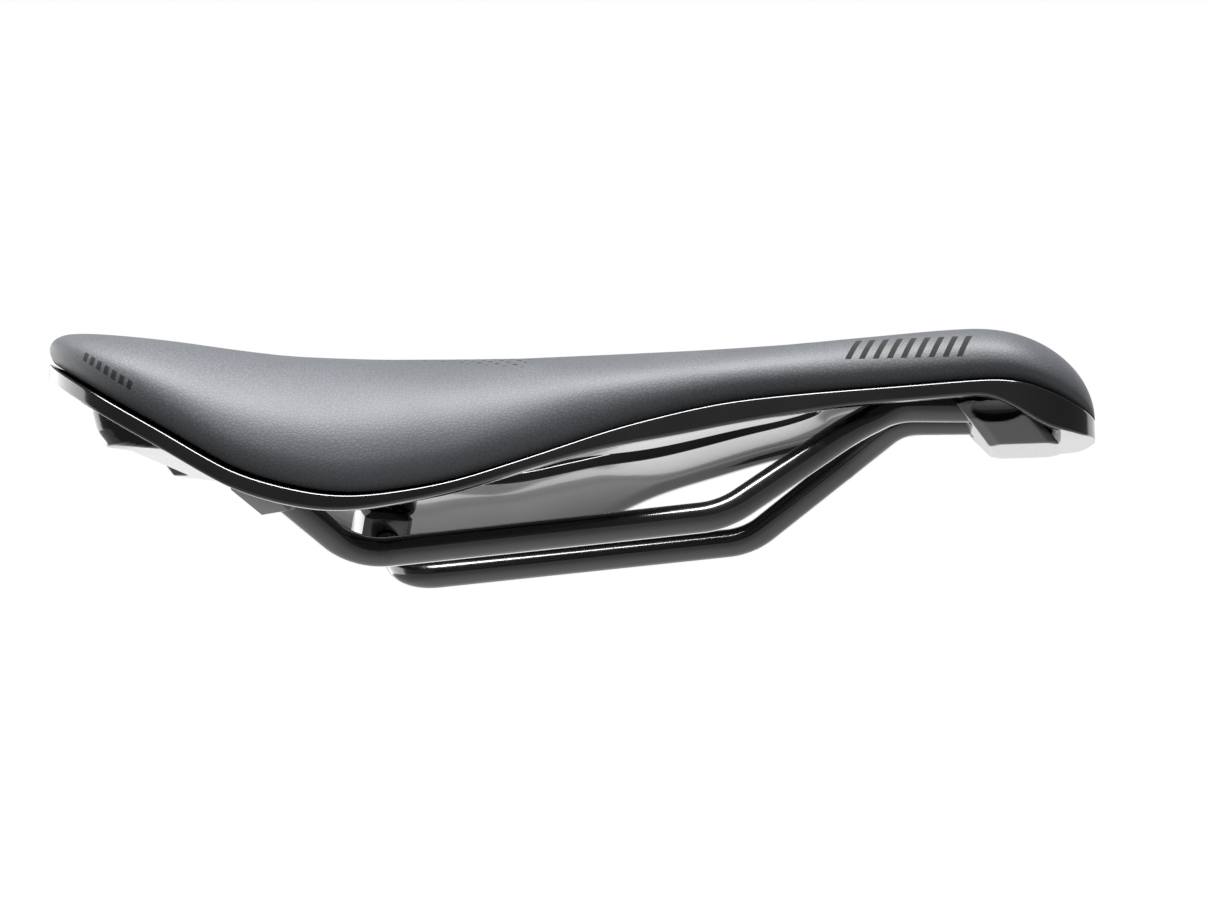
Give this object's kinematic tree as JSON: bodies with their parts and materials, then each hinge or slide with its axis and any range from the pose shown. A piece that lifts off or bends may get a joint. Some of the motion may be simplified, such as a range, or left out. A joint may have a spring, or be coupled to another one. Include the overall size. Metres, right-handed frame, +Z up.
{
  "type": "bicycle saddle",
  "caption": "Short-nose bicycle saddle with a moulded padded cover, a relief slot, a plastic base shell, round clamp rails and an accessory mount under the tail.",
  "frame": {"origin": "midway between the two rails, at the middle of their straight clamp stretch", "axes": "+X towards the nose, +Y towards the rider's left, +Z up; the saddle is level as ridden"},
  "size_m": [0.24, 0.143, 0.0565],
  "materials": {
    "cover_leather": "satin synthetic leather",
    "foam": "matt polyurethane foam",
    "shell_plastic": "gloss",
    "bridge_plastic": "gloss",
    "mount_plastic": "gloss",
    "rail_paint": "gloss black",
    "insert_brass": "turned",
    "screw_steel": "black oxide"
  },
  "bodies": {
    "root": {"cover": "cover_leather", "foam_pad": "foam", "base_shell": "shell_plastic", "nose_bridge": "bridge_plastic", "rail_left": "rail_paint", "rail_right": "rail_paint", "rear_socket_left": "bridge_plastic", "rear_socket_right": "bridge_plastic", "accessory_mount": "mount_plastic", "insert_left": "insert_brass", "insert_right": "insert_brass", "screw_left": "screw_steel", "screw_right": "screw_steel"}
  },
  "joints": []
}
